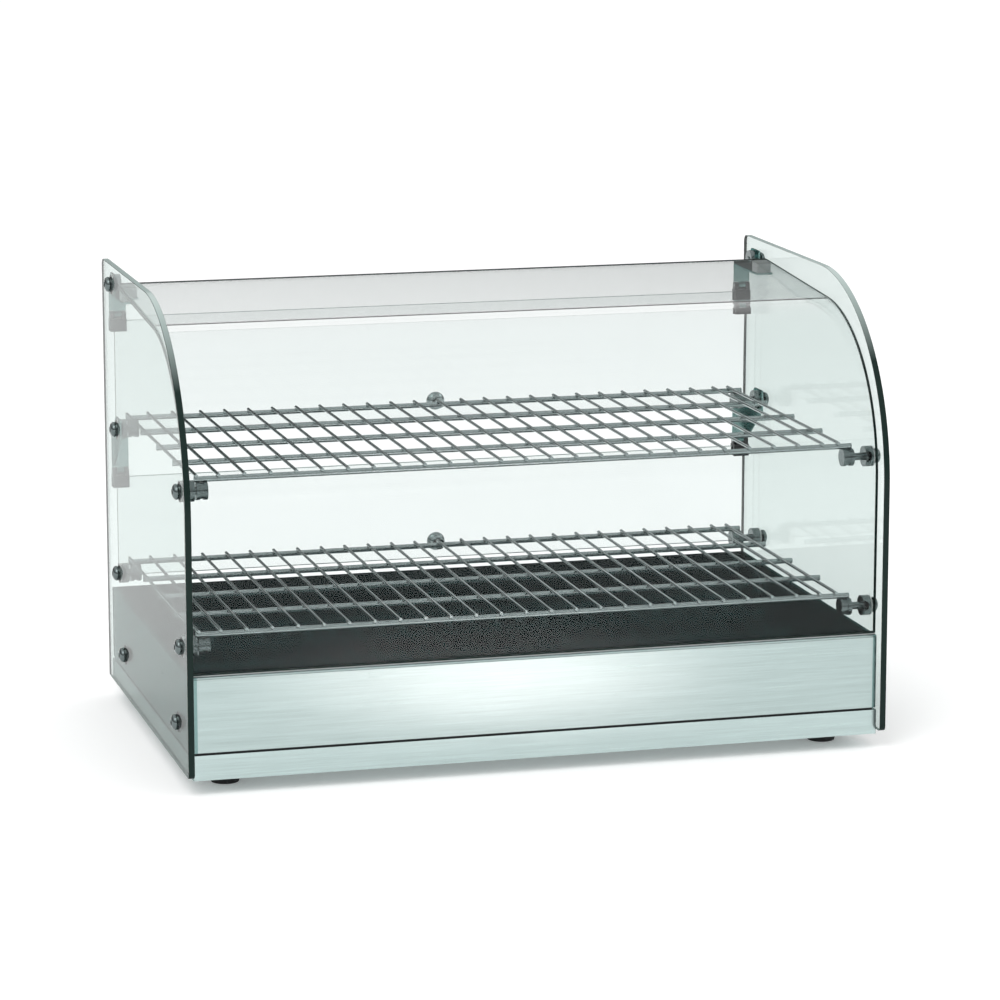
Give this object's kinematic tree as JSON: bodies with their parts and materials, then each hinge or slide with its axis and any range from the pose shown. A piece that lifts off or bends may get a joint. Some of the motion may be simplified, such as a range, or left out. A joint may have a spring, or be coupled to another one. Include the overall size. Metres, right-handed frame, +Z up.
{
  "type": "hot food display case",
  "caption": "Counter-top heated display case with a stainless base, flat glass sides, a curved glass front, wire shelves and hinged rear glass flaps.",
  "frame": {"origin": "on the counter, under the middle of the case", "axes": "+X to the customer's right-hand end as seen from the front, +Y to the operator's side, +Z up"},
  "size_m": [0.58, 0.356, 0.3745],
  "materials": {
    "stainless_steel": "brushed stainless, fine lengthways grain",
    "clear_glass": "polished clear toughened glass with a green edge",
    "clear_strip": "clear soft strip",
    "chrome_wire": "bright chrome plate over welded wire",
    "chrome_fittings": "bright chrome plate, lightly worn",
    "zinc_hardware": "zinc-plated",
    "black_rubber": "matt black rubber",
    "grey_rubber": "translucent grey silicone",
    "heater_sheath": "heat-tinted steel sheath",
    "aluminium_sheet": "mill-finish aluminium",
    "mineral_wool": "felted mineral wool",
    "copper_bulb": "drawn copper",
    "black_plastic": "black moulded plastic, satin",
    "shaft_steel": "turned steel",
    "red_plastic": "translucent red plastic",
    "amber_lens": "amber moulded lens",
    "moulded_block": "heat-proof moulded block"
  },
  "bodies": {
    "case": {"base_tray": "stainless_steel", "base_gasket": "black_rubber", "base_cover": "stainless_steel", "side_panel_left": "stainless_steel", "side_panel_right": "stainless_steel", "rear_panel": "stainless_steel", "rubber_feet": "black_rubber", "foot_screws": "zinc_hardware", "foot_nuts": "zinc_hardware", "side_glass_left": "clear_glass", "side_glass_right": "clear_glass", "front_glass": "clear_glass", "front_glass_strip": "clear_strip", "base_screws": "chrome_fittings", "base_spacers": "black_rubber", "base_screw_nuts": "zinc_hardware", "shelf_screws_left": "chrome_fittings", "shelf_screws_right": "chrome_fittings", "hinge_screws": "chrome_fittings", "glass_seals": "grey_rubber", "round_nuts": "chrome_fittings", "support_cups": "chrome_fittings", "hinge_bracket_upper_left": "stainless_steel", "hinge_bracket_upper_right": "stainless_steel", "hinge_bracket_lower_left": "stainless_steel", "hinge_bracket_lower_right": "stainless_steel", "glass_rest_pads": "grey_rubber", "heating_element": "heater_sheath", "element_straps": "zinc_hardware", "reflector_trough": "aluminium_sheet", "insulation_slab": "mineral_wool", "thermostat_bulb": "copper_bulb", "bulb_clips": "zinc_hardware", "safety_cutout": "black_plastic", "thermostat": "zinc_hardware", "thermostat_nut": "zinc_hardware", "switch_housing": "black_plastic", "pilot_lamp": "amber_lens", "cord_gland": "black_plastic", "gland_nut": "black_plastic", "terminal_block": "moulded_block", "panel_cleats": "stainless_steel", "panel_screws": "zinc_hardware"},
    "lower_shelf": {"lower_shelf": "chrome_wire"},
    "upper_shelf": {"upper_shelf": "chrome_wire"},
    "upper_flap": {"upper_flap_glass": "clear_glass", "upper_flap_shoes": "black_plastic", "upper_flap_pins": "chrome_fittings", "upper_flap_grip": "chrome_fittings", "upper_flap_grip_screw": "chrome_fittings"},
    "lower_flap": {"lower_flap_glass": "clear_glass", "lower_flap_shoes": "black_plastic", "lower_flap_pins": "chrome_fittings", "lower_flap_grip": "chrome_fittings", "lower_flap_grip_screw": "chrome_fittings"},
    "thermostat_knob": {"thermostat_knob": "black_plastic", "thermostat_shaft": "shaft_steel"},
    "switch_rocker": {"switch_rocker": "red_plastic"}
  },
  "joints": [
    {"name": "lower_shelf_lift", "type": "slide", "parent": "case", "child": "lower_shelf", "axis": [0, 0, 1], "range_m": [0, 0.03]},
    {"name": "upper_shelf_lift", "type": "slide", "parent": "case", "child": "upper_shelf", "axis": [0, 0, 1], "range_m": [0, 0.015]},
    {"name": "upper_flap_hinge", "type": "hinge", "parent": "case", "child": "upper_flap", "pos_m": [0, 0.16025, 0.329], "axis": [1, 0, 0], "range_deg": [0, 95]},
    {"name": "lower_flap_hinge", "type": "hinge", "parent": "case", "child": "lower_flap", "pos_m": [0, 0.16025, 0.196], "axis": [1, 0, 0], "range_deg": [0, 95]},
    {"name": "thermostat_turn", "type": "hinge", "parent": "case", "child": "thermostat_knob", "pos_m": [-0.19, 0.1546, 0.062], "axis": [0, -1, 0], "range_deg": [0, 270]},
    {"name": "switch_rock", "type": "hinge", "parent": "case", "child": "switch_rocker", "pos_m": [-0.12, 0.148, 0.062], "axis": [-1, 0, 0], "range_deg": [0, 20]}
  ]
}
